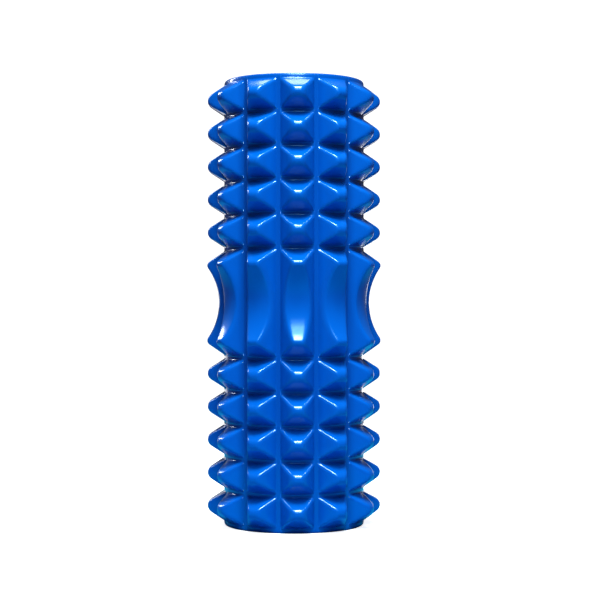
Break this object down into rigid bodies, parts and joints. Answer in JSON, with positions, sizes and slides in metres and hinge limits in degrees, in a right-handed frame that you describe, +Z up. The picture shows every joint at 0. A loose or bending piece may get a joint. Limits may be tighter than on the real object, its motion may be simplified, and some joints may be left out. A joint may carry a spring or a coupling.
{
  "type": "foam roller",
  "caption": "Hollow foam massage roller: a closed-cell sleeve with rows of blunt pyramid teeth and a ribbed hourglass waist, bonded on a rigid core tube.",
  "frame": {"origin": "centre of the lower end face, on the roller's axis, with the roller standing on end", "axes": "+Z up along the roller's axis; +X through the middle of one column of teeth; the pattern is the same from +X and +Y"},
  "size_m": [0.1294, 0.1294, 0.33],
  "materials": {
    "blue_foam": "glossy moulded skin",
    "core_plastic": "satin extruded",
    "adhesive": "cured contact adhesive"
  },
  "bodies": {
    "root": {"foam_sleeve": "blue_foam", "core_tube": "core_plastic", "bond_layer": "adhesive"}
  },
  "joints": []
}
